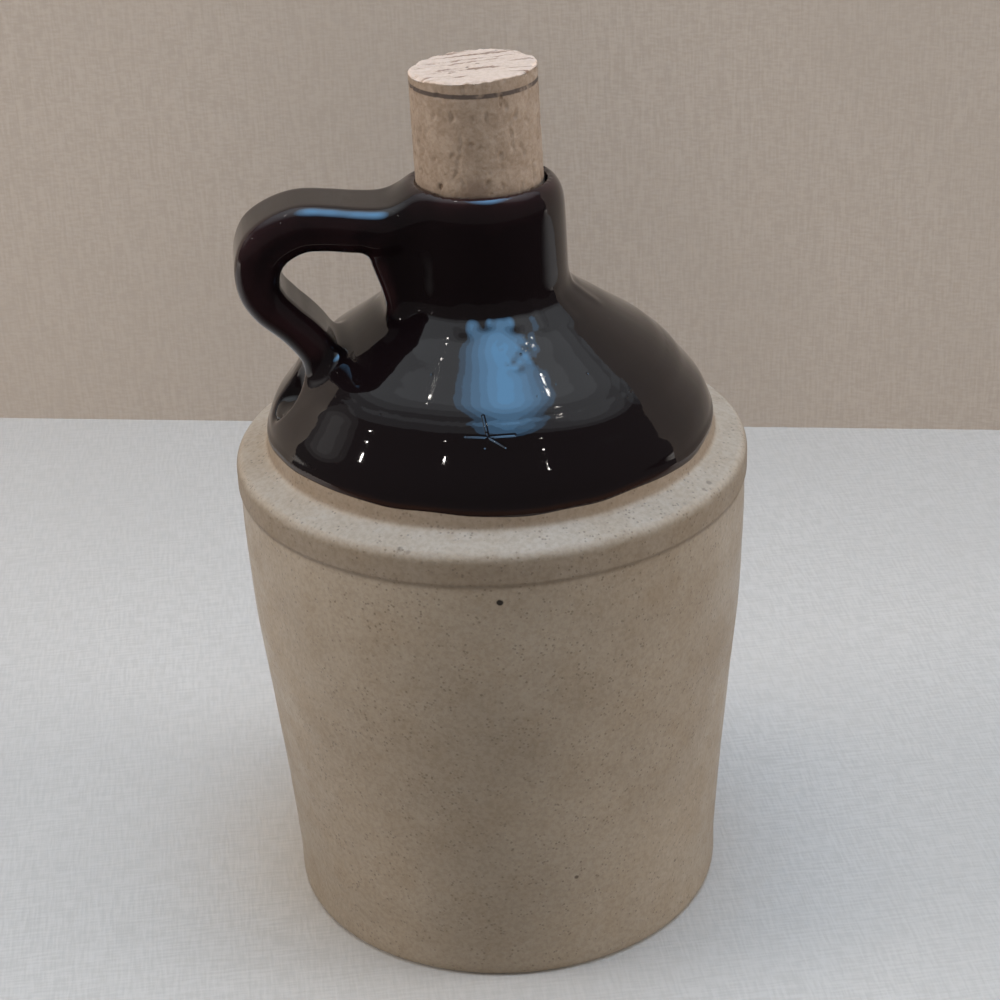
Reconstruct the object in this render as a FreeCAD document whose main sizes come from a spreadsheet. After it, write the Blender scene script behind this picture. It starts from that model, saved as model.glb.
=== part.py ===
"""Stoneware whiskey jug with a strap handle, and the cork that stands in its neck.

Millimetres, +Z up. The origin is the centre of the foot. The handle stands in the X-Z plane,
on the -X side. The jug is one fired piece of clay: a tapering body with a raised band at its
top, a flat ledge, a domed shoulder, a neck with a rounded lip, and a strap pulled from the lip
over to the shoulder. The cork is a used bottle cork that rests in the neck.
"""
import FreeCAD
import Part
import Sketcher
import os
from math import pi, radians, tan
from FreeCAD import Vector

doc = FreeCAD.newDocument("WhiskeyJug")

# ---------------------------------------------------------------- driving dimensions
SIZES = [
    # body of the jug
    ("bandRadius", 48.1, "outer radius of the raised band, the jug's widest place"),
    ("bandTop", 94.6, "height of the band's top edge above the table"),
    ("bandDepth", 6.5, "height of the raised band"),
    ("bandProud", 0.45, "how far the band stands out from the wall below it"),
    ("bandRound", 2.8, "rounding of the band's top edge"),
    ("footInset", 5.9, "how much smaller the foot's radius is than the band's"),
    ("footRound", 1.0, "rounding of the foot's edge"),
    ("wallRise", 13.0, "height of the wall's nearly upright lowest part"),
    ("wallRiseInset", 0.45, "how much the wall widens over that part"),
    ("wallEase", 21.0, "height of the wall's steeper upper part, under the band"),
    ("wallEaseInset", 0.5, "how much the wall widens over that part"),
    # ledge and domed shoulder
    ("ledgeWidth", 6.1, "width of the ledge between the band and the dome"),
    ("ledgeRise", 1.6, "how far the ledge climbs towards the dome"),
    ("ledgeFillet", 1.2, "fillet where the dome springs from the ledge"),
    ("springHeight", 1.4, "upright strip between the ledge and the dome's curve"),
    ("shoulderRadius", 11.0, "tight curve at the dome's shoulder"),
    ("domeRadius", 95.0, "flat curve from the shoulder up to the neck"),
    ("domeRise", 28.9, "height from the ledge's inner edge to the neck's root"),
    # neck and lip
    ("lipWall", 2.4, "thickness of the clay round the mouth, at the top of the lip"),
    ("neckTaper", 0.5, "how much the neck widens from the lip to its root"),
    ("neckLength", 20.1, "height from the neck's root to the top of the lip"),
    ("neckFillet", 2.2, "fillet between the dome and the neck"),
    ("lipRound", 1.8, "rounding of the lip's outer edge"),
    ("lipBreak", 0.4, "rounding of the mouth's edge"),
    # cork and the bore that it stands in
    ("corkRadius", 11.6, "radius of the cork at its seat"),
    ("corkTaper", 0.15, "how much the cork narrows towards its top"),
    ("corkShown", 20.8, "length of the cork above the lip"),
    ("corkHidden", 17.0, "length of the cork in the neck"),
    ("corkChamfer", 0.4, "worn edge of the cork's two ends"),
    ("corkClearance", 0.3, "gap between the cork and the bore round its seat"),
    ("corkPlay", 0.07, "gap left between the leaning cork's lower end and the bore"),
    ("mouthFlare", 0.6, "how much wider the mouth is than the seat"),
    ("flareDepth", 6.0, "depth of the flared part of the mouth"),
    ("boreSpare", 2.0, "depth of the bore below the cork"),
    # strap handle
    ("strapWidth", 16.5, "width of the strap"),
    ("strapThickness", 9.0, "thickness of the strap"),
    ("strapCorner", 3.4, "rounding of the strap's four edges"),
    ("strapDrop", 0.6, "how far the strap's root lies below the top of the lip"),
    ("strapDroop", 2.4, "slope of the upper run, in degrees"),
    ("strapInset", 3.2, "how far inside the band's radius the handle's bend stays"),
    ("bendInside", 3.5, "inside radius of the handle's round bend"),
    ("tailInset", 11.1, "how far inside the dome's foot the strap's middle comes down"),
    ("tailInside", 2.5, "inside radius of the bend where the strap turns down to the dome"),
    ("tailHeight", 16.1, "height of that bend's centre above the ledge's inner edge"),
    ("tailDepth", 6.0, "depth to which the strap's end is worked into the dome"),
    ("webReach", 7.4, "how far the web under the strap's root runs out from the neck"),
    ("webFoot", 2.2, "how far the web's foot runs out over the dome"),
    ("webSink", 3.0, "how far the web's foot is worked into the dome"),
    ("webInset", 1.2, "how much narrower the web is than the strap, on each side"),
    ("webCorner", 3.0, "rounding of the web's two edges"),
    ("strapBlend", 2.8, "fillet where the strap's tail is worked into the dome"),
    ("webBlend", 1.5, "fillet round the strap's root and the web"),
]
# heights and radii that follow from the driving ones
FOLLOWING = [
    ("footRadius", "bandRadius - footInset"),
    ("wallRadius", "bandRadius - bandProud"),
    ("wallTop", "bandTop - bandDepth"),
    ("wallStart", "footRadius + wallRiseInset"),
    ("wallBend", "wallTop - wallEase"),
    ("wallBendRadius", "wallRadius - wallEaseInset"),
    ("bandBottom", "wallTop + bandProud"),
    ("domeFoot", "bandRadius - ledgeWidth"),
    ("ledgeTop", "bandTop + ledgeRise"),
    ("domeSpring", "ledgeTop + springHeight"),
    ("neckRoot", "ledgeTop + domeRise"),
    ("lipTop", "neckRoot + neckLength"),
    ("seatRadius", "corkRadius + corkClearance"),
    ("mouthRadius", "seatRadius + mouthFlare"),
    ("lipRadius", "mouthRadius + lipWall"),
    ("neckRadius", "lipRadius + neckTaper"),
    ("flareBottom", "lipTop - flareDepth"),
    ("corkBottom", "lipTop - corkHidden"),
    ("boreBottom", "corkBottom - boreSpare"),
    ("corkBelow", "corkHidden - flareDepth"),
    ("corkAbove", "corkShown + flareDepth"),
    ("corkSway", "corkClearance - corkPlay"),
    ("corkTop", "corkRadius - corkTaper"),
    ("strapStart", "seatRadius / 2"),
    ("strapTop", "lipTop - strapDrop"),
    ("strapUnder", "strapTop - strapThickness"),
    ("strapLevel", "strapTop - strapThickness / 2"),
    ("strapSide", "strapWidth / 2"),
    ("bendRadius", "bendInside + strapThickness / 2"),
    ("tailRadius", "tailInside + strapThickness / 2"),
    ("bendCentre", "bandRadius - strapInset - strapThickness / 2 - bendRadius"),
    ("tailAcross", "domeFoot - tailInset"),
    ("tailLevel", "ledgeTop + tailHeight"),
    ("tailEnd", "tailLevel - tailDepth"),
    ("webSide", "strapSide - webInset"),
    ("webAcross", "lipRadius + webReach"),
    ("webFootAcross", "neckRadius + webFoot"),
    ("webBottom", "neckRoot - webSink"),
]

sheet = doc.addObject("Spreadsheet::Sheet", "Sizes")
for row, (alias, value, meaning) in enumerate(SIZES, start=1):
    sheet.set("A%d" % row, alias)
    sheet.set("B%d" % row, str(value))
    sheet.set("C%d" % row, meaning)
    sheet.setAlias("B%d" % row, alias)
for row, (alias, formula) in enumerate(FOLLOWING, start=len(SIZES) + 1):
    sheet.set("A%d" % row, alias)
    sheet.set("B%d" % row, "=" + formula)
    sheet.setAlias("B%d" % row, alias)
doc.recompute()


def size(alias):
    """The present value of a named size."""
    return float(sheet.get(alias))


# ---------------------------------------------------------------- sketching helpers
START, END, CENTRE = 1, 2, 3
ORIGIN = (-1, 1)


def new_body(name):
    body = doc.addObject("PartDesign::Body", name)
    body.Label = name
    return body


def new_sketch(body, name, role):
    sketch = body.newObject("Sketcher::SketchObject", name)
    plane = next(item for item in body.Origin.OriginFeatures if item.Role == role)
    sketch.AttachmentSupport = (plane, [""])
    sketch.MapMode = "FlatFace"
    return sketch


def line(sketch, start, end):
    return sketch.addGeometry(Part.LineSegment(Vector(*start, 0), Vector(*end, 0)), False)


def arc(sketch, centre, radius, first, last):
    """A counter-clockwise arc between two angles, in degrees."""
    circle = Part.Circle(Vector(*centre, 0), Vector(0, 0, 1), radius)
    return sketch.addGeometry(Part.ArcOfCircle(circle, radians(first), radians(last)), False)


def tie(sketch, kind, *where):
    sketch.addConstraint(Sketcher.Constraint(kind, *where))


def bind(sketch, kind, *where, by):
    """A dimension whose value follows one named size."""
    index = sketch.addConstraint(Sketcher.Constraint(kind, *where, size(by)))
    sketch.setExpression("Constraints[%d]" % index, "Sizes." + by)


def put(sketch, geo, point, across=None, up=None, left=False):
    """Sets a point's distances from the sketch's origin, to its right or to its left."""
    if across is not None:
        ends = (geo, point) + ORIGIN if left else ORIGIN + (geo, point)
        bind(sketch, "DistanceX", *ends, by=across)
    if up is not None:
        bind(sketch, "DistanceY", *ORIGIN, geo, point, by=up)


def revolve(body, kind, name, sketch):
    feature = body.newObject("PartDesign::" + kind, name)
    feature.Profile = sketch
    feature.ReferenceAxis = (sketch, ["V_Axis"])
    feature.Angle = 360
    feature.Refine = False
    doc.recompute()
    return feature


def ring_edges(feature, radius, height):
    """Names of the level circular edges with this radius at this height."""
    names = []
    for number, edge in enumerate(feature.Shape.Edges, start=1):
        curve = edge.Curve
        if isinstance(curve, Part.Circle) and abs(curve.Axis.z) > 0.999:
            if abs(curve.Radius - radius) < 0.01 and abs(curve.Center.z - height) < 0.01:
                names.append("Edge%d" % number)
    return names


def round_off(body, name, base, edges, by):
    fillet = body.newObject("PartDesign::Fillet", name)
    fillet.Refine = False
    fillet.Base = (base, edges)
    fillet.Radius = size(by)
    fillet.setExpression("Radius", "Sizes." + by)
    doc.recompute()
    return fillet


# ---------------------------------------------------------------- the jug
def jug_profile(body):
    """Half of the jug's outline: foot, tapering wall, band, ledge, dome and neck."""
    sketch = new_sketch(body, "JugProfile", "XZ_Plane")
    foot = size("footRadius")
    wall = size("wallRadius")
    band = size("bandRadius")
    spring = size("domeFoot")
    shoulder = size("shoulderRadius")
    dome = size("domeRadius")
    start = (size("wallStart"), size("wallRise"))
    bend = (size("wallBendRadius"), size("wallBend"))
    base = line(sketch, (0, 0), (foot, 0))
    low = line(sketch, (foot, 0), start)
    taper = line(sketch, start, bend)
    upper = line(sketch, bend, (wall, size("wallTop")))
    step = line(sketch, (wall, size("wallTop")), (band, size("bandBottom")))
    face = line(sketch, (band, size("bandBottom")), (band, size("bandTop")))
    ledge = line(sketch, (band, size("bandTop")), (spring, size("ledgeTop")))
    strip = line(sketch, (spring, size("ledgeTop")), (spring, size("domeSpring")))
    turn = arc(sketch, (spring - shoulder, size("domeSpring")), shoulder, 0, 43)
    crown = arc(sketch, (spring - shoulder - 0.73 * (dome - shoulder),
                         size("domeSpring") - 0.68 * (dome - shoulder)), dome, 43, 54)
    neck = line(sketch, (size("neckRadius"), size("neckRoot")), (size("lipRadius"), size("lipTop")))
    top = line(sketch, (size("lipRadius"), size("lipTop")), (0, size("lipTop")))
    axis = line(sketch, (0, size("lipTop")), (0, 0))

    tie(sketch, "Coincident", base, START, *ORIGIN)
    tie(sketch, "Horizontal", base)
    put(sketch, base, END, across="footRadius")
    cornered = [base, low, taper, upper, step, face, ledge, strip]
    for before, after in list(zip(cornered, cornered[1:])) + [(crown, neck), (neck, top),
                                                              (top, axis), (axis, base)]:
        tie(sketch, "Coincident", before, END, after, START)
    tie(sketch, "Tangent", strip, END, turn, START)
    tie(sketch, "Tangent", turn, END, crown, START)
    put(sketch, low, END, across="wallStart", up="wallRise")
    put(sketch, upper, START, across="wallBendRadius", up="wallBend")
    put(sketch, upper, END, across="wallRadius", up="wallTop")
    put(sketch, step, END, across="bandRadius", up="bandBottom")
    tie(sketch, "Vertical", face)
    put(sketch, face, END, up="bandTop")
    put(sketch, ledge, END, across="domeFoot", up="ledgeTop")
    tie(sketch, "Vertical", strip)
    put(sketch, strip, END, up="domeSpring")
    bind(sketch, "Radius", turn, by="shoulderRadius")
    bind(sketch, "Radius", crown, by="domeRadius")
    put(sketch, crown, END, across="neckRadius", up="neckRoot")
    put(sketch, neck, END, across="lipRadius", up="lipTop")
    tie(sketch, "Horizontal", top)
    tie(sketch, "Vertical", axis)
    return sketch


def turned_jug(body):
    """The thrown pot: the outline turned about Z, with its edges rounded as the clay is."""
    pot = revolve(body, "Revolution", "Pot", jug_profile(body))
    rounds = [("FootEdge", "footRadius", 0.0, "footRound"),
              ("BandEdge", "bandRadius", size("bandTop"), "bandRound"),
              ("LedgeHollow", "domeFoot", size("ledgeTop"), "ledgeFillet"),
              ("NeckHollow", "neckRadius", size("neckRoot"), "neckFillet"),
              ("LipEdge", "lipRadius", size("lipTop"), "lipRound")]
    for name, radius, height, by in rounds:
        pot = round_off(body, name, pot, ring_edges(pot, size(radius), height), by)
    return pot


def strap_route(body):
    """The strap's middle line: level run, round bend, slanting run and turn down to the dome."""
    sketch = new_sketch(body, "StrapRoute", "XZ_Plane")
    bend = size("bendRadius")
    tail = size("tailRadius")
    droop = radians(size("strapDroop"))
    start = (-size("strapStart"), size("strapLevel"))
    centre = (-size("bendCentre"), start[1] - bend - (size("bendCentre") + start[0]) * tan(droop))
    turn = (-size("tailAcross") - tail, size("tailLevel"))
    level = line(sketch, start, (centre[0], centre[1] + bend))
    outer = arc(sketch, centre, bend, 90, 210)
    slant = line(sketch, (centre[0] - 0.8 * bend, centre[1] - 0.6 * bend),
                 (turn[0] + 0.8 * tail, turn[1] + 0.6 * tail))
    inner = arc(sketch, turn, tail, 0, 33)
    drop = line(sketch, (turn[0] + tail, turn[1]), (turn[0] + tail, size("tailEnd")))

    put(sketch, level, START, across="strapStart", up="strapLevel", left=True)
    put(sketch, outer, CENTRE, across="bendCentre", left=True)
    slope = sketch.addConstraint(Sketcher.Constraint("Angle", level, START, -1, START, pi - droop))
    sketch.setExpression("Constraints[%d]" % slope, "180 - Sizes.strapDroop")
    bind(sketch, "Radius", outer, by="bendRadius")
    bind(sketch, "Radius", inner, by="tailRadius")
    tie(sketch, "Tangent", level, END, outer, START)
    tie(sketch, "Tangent", outer, END, slant, START)
    tie(sketch, "Tangent", slant, END, inner, END)
    tie(sketch, "Tangent", inner, START, drop, START)
    tie(sketch, "Vertical", drop)
    put(sketch, drop, START, across="tailAcross", up="tailLevel", left=True)
    put(sketch, drop, END, up="tailEnd")
    return sketch


def strap_section(body):
    """The strap cut across: a flat oval, set upright where the strap's middle line starts."""
    sketch = new_sketch(body, "StrapSection", "YZ_Plane")
    sketch.setExpression("AttachmentOffset.Base.z", "-Sizes.strapStart")
    side = size("strapWidth") / 2
    upper = size("strapTop")
    under = size("strapUnder")
    corner = size("strapCorner")
    flats = [line(sketch, (corner - side, upper), (side - corner, upper)),
             line(sketch, (side, upper - corner), (side, under + corner)),
             line(sketch, (side - corner, under), (corner - side, under)),
             line(sketch, (-side, under + corner), (-side, upper - corner))]
    corners = [arc(sketch, (side - corner, upper - corner), corner, 0, 90),
               arc(sketch, (side - corner, under + corner), corner, 270, 360),
               arc(sketch, (corner - side, under + corner), corner, 180, 270),
               arc(sketch, (corner - side, upper - corner), corner, 90, 180)]
    for flat, rounded, after in zip(flats, corners, flats[1:] + flats[:1]):
        tie(sketch, "Tangent", flat, END, rounded, END)
        tie(sketch, "Tangent", rounded, START, after, START)
    for rounded in corners[1:]:
        tie(sketch, "Equal", corners[0], rounded)
    bind(sketch, "Radius", corners[0], by="strapCorner")
    for flat, kind in zip(flats, ("Horizontal", "Vertical", "Horizontal", "Vertical")):
        tie(sketch, kind, flat)
    put(sketch, flats[0], START, up="strapTop")
    put(sketch, flats[1], START, across="strapSide")
    put(sketch, flats[2], START, up="strapUnder")
    put(sketch, flats[3], START, across="strapSide", left=True)
    return sketch



def web_profile(body):
    """The web of clay under the strap's root seen from the side: its free edge slants inwards."""
    sketch = new_sketch(body, "WebProfile", "XZ_Plane")
    start = -size("strapStart")
    level = size("strapLevel")
    under = size("strapUnder")
    bottom = size("webBottom")
    corners = [(start, level), (-size("webAcross"), level), (-size("webAcross"), under),
               (-size("webFootAcross"), bottom), (start, bottom)]
    sides = [line(sketch, *pair) for pair in zip(corners, corners[1:] + corners[:1])]
    for before, after in zip(sides, sides[1:] + sides[:1]):
        tie(sketch, "Coincident", before, END, after, START)
    put(sketch, sides[0], START, across="strapStart", up="strapLevel", left=True)
    put(sketch, sides[0], END, across="webAcross", up="strapLevel", left=True)
    tie(sketch, "Vertical", sides[1])
    put(sketch, sides[1], END, up="strapUnder")
    put(sketch, sides[2], END, across="webFootAcross", up="webBottom", left=True)
    tie(sketch, "Horizontal", sides[3])
    tie(sketch, "Vertical", sides[4])
    return sketch


def seam_edges(feature, before):
    """Names of the edges where what a feature added meets the surface that was there before."""
    names = []
    for number, edge in enumerate(feature.Shape.Edges, start=1):
        middle = Part.Vertex(edge.valueAt((edge.FirstParameter + edge.LastParameter) / 2))
        on_surface = before.Shape.Shells[0].distToShape(middle)[0] < 0.001
        if on_surface and min(old.distToShape(middle)[0] for old in before.Shape.Edges) > 0.001:
            names.append("Edge%d" % number)
    return names


def upright_edges(feature, beyond):
    """Names of the web's two free edges: straight, slanting up and down, on its outer corners."""
    names = []
    for number, edge in enumerate(feature.Shape.Edges, start=1):
        if isinstance(edge.Curve, Part.Line) and edge.CenterOfMass.x < -beyond:
            low, high = sorted(vertex.Point.z for vertex in edge.Vertexes)
            if high - low > 0.5 and abs(abs(edge.CenterOfMass.y) - size("webSide")) < 0.01:
                names.append("Edge%d" % number)
    return names


def parted(feature, names):
    """The seams at the handle's tail, and those at its root and round the web."""
    tail, root = [], []
    for name in dict.fromkeys(names):
        middle = feature.Shape.getElement(name).CenterOfMass
        (tail if middle.x < -size("webAcross") else root).append(name)
    return tail, root


def strap_handle(body, pot):
    """The strap pulled from the lip to the shoulder, worked into the pot at both ends."""
    web = body.newObject("PartDesign::Pad", "Web")
    web.Refine = False
    web.Profile = web_profile(body)
    web.Midplane = True
    web.Length = 2 * size("webSide")
    web.setExpression("Length", "2 * Sizes.webSide")
    doc.recompute()
    soft = round_off(body, "WebEdges", web, upright_edges(web, size("neckRadius")), "webCorner")
    strap = body.newObject("PartDesign::AdditivePipe", "Strap")
    strap.Refine = False
    strap.Profile = strap_section(body)
    strap.Spine = (strap_route(body), [])
    doc.recompute()
    tail, root = parted(strap, seam_edges(strap, pot) + seam_edges(strap, soft))
    worked = round_off(body, "TailSeam", strap, tail, "strapBlend")
    tail, root = parted(worked, seam_edges(worked, pot) + seam_edges(worked, soft))
    return round_off(body, "RootSeams", worked, root, "webBlend")


def bored_neck(body):
    """The blind bore that takes the cork, wider at the mouth, with its edge broken."""
    sketch = new_sketch(body, "BoreProfile", "XZ_Plane")
    seat = size("seatRadius")
    bottom = size("boreBottom")
    mouth = (size("mouthRadius"), size("lipTop"))
    floor = line(sketch, (0, bottom), (seat, bottom))
    side = line(sketch, (seat, bottom), (seat, size("flareBottom")))
    flare = line(sketch, (seat, size("flareBottom")), mouth)
    top = line(sketch, mouth, (0, mouth[1]))
    axis = line(sketch, (0, mouth[1]), (0, bottom))
    sides = [floor, side, flare, top, axis]
    for before, after in zip(sides, sides[1:] + sides[:1]):
        tie(sketch, "Coincident", before, END, after, START)
    for level in (floor, top):
        tie(sketch, "Horizontal", level)
    tie(sketch, "Vertical", side)
    tie(sketch, "PointOnObject", floor, START, -2)
    tie(sketch, "PointOnObject", top, END, -2)
    put(sketch, side, START, across="seatRadius", up="boreBottom")
    put(sketch, side, END, up="flareBottom")
    put(sketch, flare, END, across="mouthRadius", up="lipTop")
    bore = revolve(body, "Groove", "Bore", sketch)
    return round_off(body, "MouthEdge", bore,
                     ring_edges(bore, size("mouthRadius"), size("lipTop")), "lipBreak")


jug = new_body("jug")
thrown = turned_jug(jug)
strap_handle(jug, thrown)
bored_neck(jug)


# ---------------------------------------------------------------- the cork
def cork_profile(body):
    """Half of the cork's outline, drawn from the level where the bore starts to widen."""
    sketch = new_sketch(body, "CorkProfile", "XZ_Plane")
    below = -size("corkBelow")
    above = size("corkAbove")
    bottom = line(sketch, (0, below), (size("corkRadius"), below))
    side = line(sketch, (size("corkRadius"), below), (size("corkTop"), above))
    top = line(sketch, (size("corkTop"), above), (0, above))
    axis = line(sketch, (0, above), (0, below))
    sides = [bottom, side, top, axis]
    for before, after in zip(sides, sides[1:] + sides[:1]):
        tie(sketch, "Coincident", before, END, after, START)
    for level in (bottom, top):
        tie(sketch, "Horizontal", level)
    tie(sketch, "PointOnObject", bottom, START, -2)
    tie(sketch, "PointOnObject", top, END, -2)
    bind(sketch, "DistanceY", side, START, *ORIGIN, by="corkBelow")
    put(sketch, side, START, across="corkRadius")
    put(sketch, side, END, across="corkTop", up="corkAbove")
    return sketch


cork = new_body("cork")
plug = revolve(cork, "Revolution", "Plug", cork_profile(cork))
worn = cork.newObject("PartDesign::Chamfer", "WornEnds")
worn.Base = (plug, ring_edges(plug, size("corkRadius"), -size("corkBelow"))
             + ring_edges(plug, size("corkTop"), size("corkAbove")))
worn.Size = size("corkChamfer")
worn.setExpression("Size", "Sizes.corkChamfer")
doc.recompute()
# the cork leans towards the handle about the bottom of the flare, as far as its bore lets it
cork.Placement = FreeCAD.Placement(Vector(0, 0, size("flareBottom")),
                                   FreeCAD.Rotation(Vector(0, -1, 0), 1))
cork.setExpression("Placement.Base.z", "Sizes.flareBottom")
cork.setExpression("Placement.Rotation.Angle", "atan(Sizes.corkSway / Sizes.corkBelow)")
doc.recompute()

# ---------------------------------------------------------------- checks and files
for item in doc.Objects:
    if "Invalid" in item.State or "Error" in item.State:
        raise RuntimeError("%s did not compute: %s" % (item.Name, item.State))
    if item.TypeId == "Sketcher::SketchObject" and not item.FullyConstrained:
        raise RuntimeError("%s is not fully constrained" % item.Name)
for body in (jug, cork):
    shape = body.Shape
    if shape.isNull() or not shape.isValid() or len(shape.Solids) != 1:
        raise RuntimeError("%s is not one valid solid" % body.Label)

os.makedirs("parts", exist_ok=True)
for body in (jug, cork):
    body.Shape.exportStep("parts/%s.step" % body.Label)
    print("%s: %.1f cubic centimetres" % (body.Label, body.Shape.Volume / 1000))
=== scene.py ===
import math

import bmesh
import bpy
import numpy as np
from mathutils import Matrix, Vector
from mathutils import noise as solidNoise


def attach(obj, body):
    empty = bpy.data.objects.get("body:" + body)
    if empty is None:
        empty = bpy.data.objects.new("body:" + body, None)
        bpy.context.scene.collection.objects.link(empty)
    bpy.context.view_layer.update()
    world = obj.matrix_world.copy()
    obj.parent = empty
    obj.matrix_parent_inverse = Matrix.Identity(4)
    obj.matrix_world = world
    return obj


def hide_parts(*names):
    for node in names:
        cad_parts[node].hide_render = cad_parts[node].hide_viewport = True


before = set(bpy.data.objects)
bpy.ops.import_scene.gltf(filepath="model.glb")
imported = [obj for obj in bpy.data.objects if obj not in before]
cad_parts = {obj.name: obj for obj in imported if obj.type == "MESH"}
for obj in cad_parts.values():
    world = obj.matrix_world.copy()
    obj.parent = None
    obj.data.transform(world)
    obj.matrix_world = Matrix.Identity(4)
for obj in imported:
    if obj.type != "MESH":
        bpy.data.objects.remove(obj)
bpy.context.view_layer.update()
scene = bpy.context.scene
scene.view_settings.view_transform = "Standard"
mm = 0.001  # shapes are worked out in millimetres and scaled when their mesh is made
weldGap = 0.000002  # points closer than this are one point
rowsAtOnce = 8000  # points that the distance sums take at a time
print("frame loaded:", ", ".join(sorted(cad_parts)))


# short calls that make shader nodes
def feed(tree, socket, value):
    # a socket is linked, anything else is set as the socket's own value
    if isinstance(value, bpy.types.NodeSocket):
        tree.links.new(value, socket)
    elif value is not None:
        socket.default_value = value


def newMaterial(name):
    material = bpy.data.materials.new(name)
    material.use_nodes = True
    tree = material.node_tree
    surface = tree.nodes["Principled BSDF"]
    place = tree.nodes.new("ShaderNodeTexCoord").outputs["Object"]
    return material, tree, surface, place


def maths(tree, operation, first, second=0.0, clamp=False):
    node = tree.nodes.new("ShaderNodeMath")
    node.operation = operation
    node.use_clamp = clamp
    feed(tree, node.inputs[0], first)
    feed(tree, node.inputs[1], second)
    return node.outputs[0]


def times(tree, first, second):
    return maths(tree, "MULTIPLY", first, second)


def vectorMaths(tree, operation, first, second=None):
    node = tree.nodes.new("ShaderNodeVectorMath")
    node.operation = operation
    feed(tree, node.inputs[0], first)
    feed(tree, node.inputs[1], second)
    return node


def storedValue(tree, name):
    node = tree.nodes.new("ShaderNodeAttribute")
    node.attribute_name = name
    return node.outputs["Fac"]


def coordinates(tree, place):
    node = tree.nodes.new("ShaderNodeSeparateXYZ")
    feed(tree, node.inputs[0], place)
    return node.outputs


def noise(tree, place, scale, detail=3.0, roughness=0.5, distortion=0.0):
    node = tree.nodes.new("ShaderNodeTexNoise")
    feed(tree, node.inputs["Vector"], place)
    node.inputs["Scale"].default_value = scale
    node.inputs["Detail"].default_value = detail
    node.inputs["Roughness"].default_value = roughness
    node.inputs["Distortion"].default_value = distortion
    return node.outputs["Fac"]


def spread(tree, value, low, high, outLow=0.0, outHigh=1.0):
    # maps low..high to outLow..outHigh and holds it there beyond both ends
    node = tree.nodes.new("ShaderNodeMapRange")
    node.interpolation_type = "SMOOTHSTEP"
    feed(tree, node.inputs["Value"], value)
    for name, number in (("From Min", low), ("From Max", high), ("To Min", outLow), ("To Max", outHigh)):
        feed(tree, node.inputs[name], number)
    return node.outputs["Result"]


def blendColour(tree, amount, first, second, how="MIX"):
    node = tree.nodes.new("ShaderNodeMix")
    node.data_type = "RGBA"
    node.blend_type = how
    feed(tree, node.inputs[0], amount)
    feed(tree, node.inputs[6], (*first, 1) if isinstance(first, tuple) else first)
    feed(tree, node.inputs[7], (*second, 1) if isinstance(second, tuple) else second)
    return node.outputs[2]


def dappled(tree, amount, colour, tint):
    # darkens the colour by the tint where amount is 1
    return blendColour(tree, amount, colour, blendColour(tree, 1.0, colour, tint, "MULTIPLY"))


def stretched(tree, place, scale, turn=(0, 0, 0), shift=(0, 0, 0)):
    node = tree.nodes.new("ShaderNodeMapping")
    feed(tree, node.inputs["Vector"], place)
    node.inputs["Location"].default_value = shift
    node.inputs["Rotation"].default_value = turn
    node.inputs["Scale"].default_value = scale
    return node.outputs["Vector"]


def cells(tree, place, scale):
    node = tree.nodes.new("ShaderNodeTexVoronoi")
    feed(tree, node.inputs["Vector"], place)
    node.inputs["Scale"].default_value = scale
    return node.outputs["Distance"]


def spotMask(tree, place, centre, radius, soft, ragged=None):
    # 1 inside a round spot on the surface, 0 outside it, with an edge as wide as soft
    away = vectorMaths(tree, "DISTANCE", place, [part * mm for part in centre]).outputs["Value"]
    if ragged is not None:
        away = maths(tree, "ADD", away, times(tree, ragged, radius * mm))
    return spread(tree, away, (radius - soft) * mm, (radius + soft) * mm, 1.0, 0.0)


def strokeMask(tree, place, first, last, width, soft):
    # 1 along a short stroke between two places, 0 away from it
    start, way = Vector(first) * mm, (Vector(last) - Vector(first)) * mm
    offset = vectorMaths(tree, "SUBTRACT", place, start).outputs["Vector"]
    along = vectorMaths(tree, "DOT_PRODUCT", offset, way / way.length_squared)
    back = vectorMaths(tree, "SCALE", way)
    feed(tree, back.inputs["Scale"], maths(tree, "ADD", along.outputs["Value"], 0.0, clamp=True))
    gap = vectorMaths(tree, "DISTANCE", offset, back.outputs["Vector"])
    return spread(tree, gap.outputs["Value"], width * mm, (width + soft) * mm, 1.0, 0.0)


def bumped(tree, surface, height, depth, under=None):
    # depth is the height in metres that 0..1 stands for
    node = tree.nodes.new("ShaderNodeBump")
    node.inputs["Strength"].default_value = 1.0
    node.inputs["Distance"].default_value = depth
    feed(tree, node.inputs["Height"], height)
    if under is not None:
        feed(tree, node.inputs["Normal"], under)
    feed(tree, surface.inputs["Normal"], node.outputs["Normal"])
    return node.outputs["Normal"]


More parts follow.
